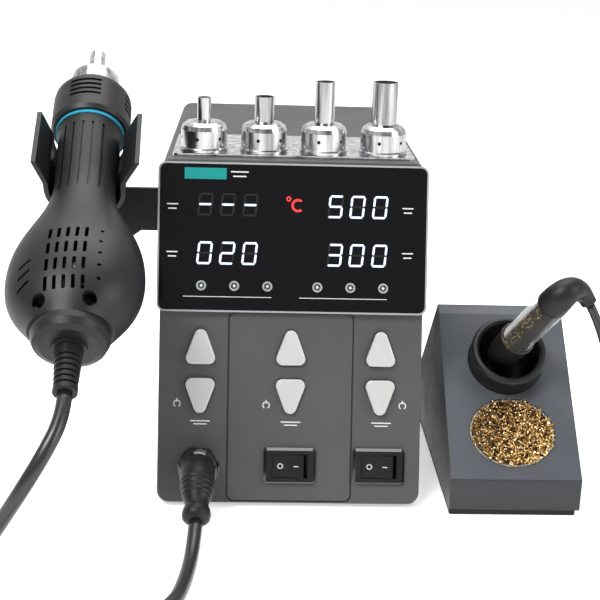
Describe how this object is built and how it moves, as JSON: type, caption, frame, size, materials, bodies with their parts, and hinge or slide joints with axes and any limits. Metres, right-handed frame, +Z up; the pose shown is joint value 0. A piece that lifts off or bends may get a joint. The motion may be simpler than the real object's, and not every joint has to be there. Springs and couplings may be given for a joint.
{
  "type": "soldering iron station",
  "caption": "Hot-air rework and soldering station: control unit with twin display, hot-air gun in a side cradle, spare nozzles on the roof, and an iron in a wedge stand with brass wool.",
  "frame": {"origin": "middle of the footprint of the whole set without its free cords, on the bench", "axes": "+Z up, -Y out of the control panel towards the user, +X towards the iron stand"},
  "size_m": [0.4406, 0.3214, 0.1933],
  "materials": {
    "case_metal": "fine satin powder coat",
    "steel": "brushed",
    "rubber_black": "satin rubber",
    "front_plastic": "satin moulded plastic",
    "rim_grey": "satin grey",
    "display_glass": "polished dark window",
    "circuit_board": "green laminate with parts",
    "gloss_black": "glossy moulded plastic",
    "polished_steel": "polished stainless steel",
    "black_plastic": "fine grained moulded plastic",
    "cradle_paint": "black powder coat",
    "cyan_accent": "tinted plastic",
    "ceramic": "fired ceramic former in a steel tube",
    "stand_paint": "satin grey paint",
    "base_rubber": "dense moulded rubber",
    "wool_brass": "curled swarf, glossy edges",
    "clear_sleeve": "clear plastic sleeve",
    "cord_black": "smooth glossy cord jacket",
    "pearl_button": "pearl silver paint"
  },
  "bodies": {
    "root": {"case_shell": "case_metal", "base_plate": "steel", "feet": "rubber_black", "front_bezel": "front_plastic", "centre_trim": "front_plastic", "display_bezel": "rim_grey", "display_lens": "display_glass", "led_bezels": "rim_grey", "front_board": "circuit_board", "rocker_frames": "gloss_black", "panel_sockets": "gloss_black", "gun_plug": "rubber_black", "nozzle_rack": "polished_steel", "rear_panel": "case_metal", "mains_inlet": "black_plastic", "main_board": "circuit_board", "transformer": "steel", "case_screws": "steel", "cradle": "cradle_paint", "stand_body": "stand_paint", "stand_base": "base_rubber", "holder_cup": "rubber_black", "gun_cord_run": "cord_black", "gun_cord_lead": "cord_black", "gun_cord_coil": "cord_black", "iron_cord_run": "cord_black", "iron_cord_coil": "cord_black", "iron_cord_tail": "cord_black", "iron_plug": "black_plastic"},
    "gun": {"gun_shell_front": "black_plastic", "gun_shell_rear": "black_plastic", "gun_collar": "black_plastic", "accent_ring": "cyan_accent", "heater": "ceramic", "fan_motor": "steel", "tail_cap": "black_plastic", "gun_strain_relief": "rubber_black", "gun_cord_drop": "cord_black"},
    "iron": {"iron_grip": "black_plastic", "iron_sleeve": "clear_sleeve", "iron_cartridge": "steel", "iron_boot": "rubber_black", "iron_cord_drop": "cord_black"},
    "wool": {"wool_tin": "steel", "brass_wool": "wool_brass"},
    "fitted_nozzle": {"fitted_nozzle": "polished_steel"},
    "fan": {"fan_rotor": "black_plastic"},
    "plug_ring": {"plug_ring": "gloss_black"},
    "button_up_left": {"button_up_left": "pearl_button"},
    "button_down_left": {"button_down_left": "pearl_button"},
    "button_up_middle": {"button_up_middle": "pearl_button"},
    "button_down_middle": {"button_down_middle": "pearl_button"},
    "button_up_right": {"button_up_right": "pearl_button"},
    "button_down_right": {"button_down_right": "pearl_button"},
    "rocker_middle": {"rocker_middle": "gloss_black"},
    "rocker_right": {"rocker_right": "gloss_black"},
    "nozzle_1": {"nozzle_1": "polished_steel"},
    "nozzle_2": {"nozzle_2": "polished_steel"},
    "nozzle_3": {"nozzle_3": "polished_steel"},
    "nozzle_4": {"nozzle_4": "polished_steel"}
  },
  "joints": [
    {"name": "button_up_left_press", "type": "slide", "parent": "root", "child": "button_up_left", "axis": [0, 0.9582, -0.2862], "range_m": [0, 0.0012], "stiffness_N_per_m": 400},
    {"name": "button_down_left_press", "type": "slide", "parent": "root", "child": "button_down_left", "axis": [0, 0.9582, -0.2862], "range_m": [0, 0.0012], "stiffness_N_per_m": 400},
    {"name": "button_up_middle_press", "type": "slide", "parent": "root", "child": "button_up_middle", "axis": [0, 0.9582, -0.2862], "range_m": [0, 0.0012], "stiffness_N_per_m": 400},
    {"name": "button_down_middle_press", "type": "slide", "parent": "root", "child": "button_down_middle", "axis": [0, 0.9582, -0.2862], "range_m": [0, 0.0012], "stiffness_N_per_m": 400},
    {"name": "button_up_right_press", "type": "slide", "parent": "root", "child": "button_up_right", "axis": [0, 0.9582, -0.2862], "range_m": [0, 0.0012], "stiffness_N_per_m": 400},
    {"name": "button_down_right_press", "type": "slide", "parent": "root", "child": "button_down_right", "axis": [0, 0.9582, -0.2862], "range_m": [0, 0.0012], "stiffness_N_per_m": 400},
    {"name": "rocker_middle_rock", "type": "hinge", "parent": "root", "child": "rocker_middle", "pos_m": [-0.00696, -0.06402, 0.01848], "axis": [0, 0.2862, 0.9582], "range_deg": [0, 16]},
    {"name": "rocker_right_rock", "type": "hinge", "parent": "root", "child": "rocker_right", "pos_m": [0.03374, -0.06344, 0.0183], "axis": [0, 0.2862, 0.9582], "range_deg": [0, 16]},
    {"name": "plug_ring_turn", "type": "hinge", "parent": "root", "child": "plug_ring", "pos_m": [-0.04826, -0.07331, 0.02021], "axis": [0, -0.9582, 0.2862], "continuous": true},
    {"name": "nozzle_1_lift", "type": "slide", "parent": "root", "child": "nozzle_1", "axis": [0, 0, 1], "range_m": [0, 0.045]},
    {"name": "nozzle_2_lift", "type": "slide", "parent": "root", "child": "nozzle_2", "axis": [0, 0, 1], "range_m": [0, 0.045]},
    {"name": "nozzle_3_lift", "type": "slide", "parent": "root", "child": "nozzle_3", "axis": [0, 0, 1], "range_m": [0, 0.045]},
    {"name": "nozzle_4_lift", "type": "slide", "parent": "root", "child": "nozzle_4", "axis": [0, 0, 1], "range_m": [0, 0.045]},
    {"name": "gun_lift", "type": "slide", "parent": "root", "child": "gun", "axis": [0.019, -0.5443, 0.8387], "range_m": [0, 0.06]},
    {"name": "fitted_nozzle_pull", "type": "slide", "parent": "gun", "child": "fitted_nozzle", "axis": [-0.0293, 0.8382, 0.5446], "range_m": [0, 0.03]},
    {"name": "fan_spin", "type": "hinge", "parent": "gun", "child": "fan", "pos_m": [-0.0979, -0.08756, 0.11448], "axis": [-0.0856, -0.545, 0.8341], "continuous": true},
    {"name": "wool_lift", "type": "slide", "parent": "root", "child": "wool", "axis": [0, -0.6691, 0.7431], "range_m": [0, 0.03]},
    {"name": "iron_draw", "type": "slide", "parent": "root", "child": "iron", "axis": [0.2419, -0.6691, 0.7027], "range_m": [0, 0.075]}
  ]
}
